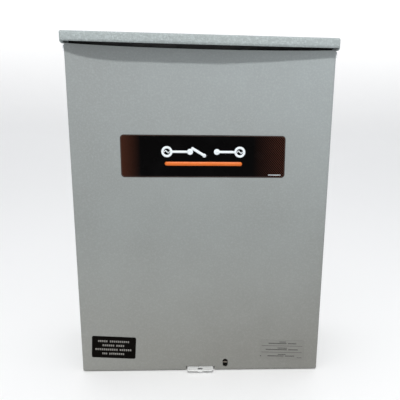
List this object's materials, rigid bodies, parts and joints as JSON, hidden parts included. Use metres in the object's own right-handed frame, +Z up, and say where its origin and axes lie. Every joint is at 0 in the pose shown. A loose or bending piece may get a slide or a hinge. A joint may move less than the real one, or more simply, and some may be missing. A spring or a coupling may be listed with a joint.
{
  "type": "automatic transfer switch",
  "caption": "Wall-hung automatic transfer switch: steel enclosure with a drip lid, a top-hung cover, a service breaker, a solenoid-driven two-way mechanism and control parts.",
  "frame": {"origin": "middle of the footprint, on the level of the enclosure's lower edges", "axes": "+Z up the wall, +Y into the wall, -Y out of the front cover, +X to the viewer's right"},
  "size_m": [0.3708, 0.18, 0.508],
  "materials": {
    "box_paint": "light grey powder coat, fine orange peel",
    "cover_paint": "light grey powder coat, fine orange peel",
    "zinc_plate": "bright zinc plate",
    "galvanised": "galvanised sheet",
    "steel": "plain steel",
    "copper": "bare copper bar",
    "silver": "silver alloy contact",
    "brass": "bare brass",
    "aluminium": "tin plated aluminium",
    "black_moulding": "black thermoset moulding",
    "brown_moulding": "red brown thermoset moulding",
    "red_plastic": "red vinyl grip",
    "white_plastic": "white nylon",
    "clear_plastic": "clear polycarbonate",
    "board": "green solder mask",
    "terminal_green": "green terminal housing",
    "winding_tape": "varnished winding tape",
    "foam": "closed cell foam",
    "film_black": "printed polyester film",
    "film_clear": "clear printed film",
    "film_white": "white printed paper",
    "wire_jacket": "coloured vinyl",
    "lamp": "diffused lamp lens",
    "fuse_glass": "fuse tube"
  },
  "bodies": {
    "box": {"board_lamps": "lamp", "board_modules": "black_moulding", "board_posts": "white_plastic", "board_terminals": "terminal_green", "bracket_rivets": "zinc_plate", "breaker_base": "black_moulding", "breaker_cover": "black_moulding", "bus_bars": "copper", "bus_bolts": "zinc_plate", "contact_braids": "copper", "control_wires": "wire_jacket", "controller_board": "board", "dead_front": "galvanised", "dead_front_posts": "zinc_plate", "drip_lid": "box_paint", "enclosure": "box_paint", "fixed_contacts": "copper", "fixed_tips": "silver", "fuse_block": "black_moulding", "fuse_clips": "brass", "fuses": "fuse_glass", "ground_bar": "aluminium", "hasp_bracket": "zinc_plate", "hinge_ears": "box_paint", "hinge_pins": "zinc_plate", "knockouts": "box_paint", "limit_switch_bracket": "galvanised", "limit_switches": "black_moulding", "mechanism_base": "brown_moulding", "neutral_bar": "aluminium", "neutral_insulators": "white_plastic", "panel_fixings": "zinc_plate", "rain_strip": "foam", "relay_core": "steel", "relay_cover": "clear_plastic", "relay_socket": "black_moulding", "seal_bracket": "zinc_plate", "solenoid_bobbins": "white_plastic", "solenoid_frame": "galvanised", "solenoid_windings": "winding_tape", "sub_panel": "galvanised", "terminal_screws": "steel", "terminal_strip": "black_moulding", "wire_lugs": "aluminium"},
    "cover": {"front_cover": "cover_paint", "door_gasket": "foam", "name_label": "film_black", "notice_label": "film_black", "caution_label": "film_clear", "diagram_label": "film_white"},
    "breaker_toggle": {"breaker_handle": "black_moulding"},
    "rotor": {"rotor_shaft": "steel", "contact_carrier": "black_moulding", "moving_contacts": "copper", "moving_tips": "silver", "drive_lever": "zinc_plate", "manual_lever": "zinc_plate", "lever_grip": "red_plastic"},
    "plunger": {"solenoid_plunger": "steel"},
    "button": {"test_button": "red_plastic"}
  },
  "joints": [
    {"name": "cover_swing", "type": "hinge", "parent": "box", "child": "cover", "pos_m": [0, -0.0715, 0.4859], "axis": [-1, 0, 0], "range_deg": [0, 88]},
    {"name": "breaker_throw", "type": "hinge", "parent": "box", "child": "breaker_toggle", "pos_m": [-0.028, 0.0144, 0.39], "axis": [1, 0, 0], "range_deg": [0, 44]},
    {"name": "transfer", "type": "hinge", "parent": "box", "child": "rotor", "pos_m": [-0.028, 0.0224, 0.205], "axis": [1, 0, 0], "range_deg": [0, 24], "deforming": ["contact_braids"]},
    {"name": "plunger_slide", "type": "slide", "parent": "box", "child": "plunger", "axis": [0, 0, -1], "range_m": [0, 0.0134]},
    {"name": "test_button_press", "type": "slide", "parent": "box", "child": "button", "axis": [0, 1, 0], "range_m": [0, 0.001], "stiffness_N_per_m": 900}
  ],
  "couplings": [
    {"joint": "plunger_slide", "follows": "transfer", "m_per_rad": 0.031766}
  ]
}
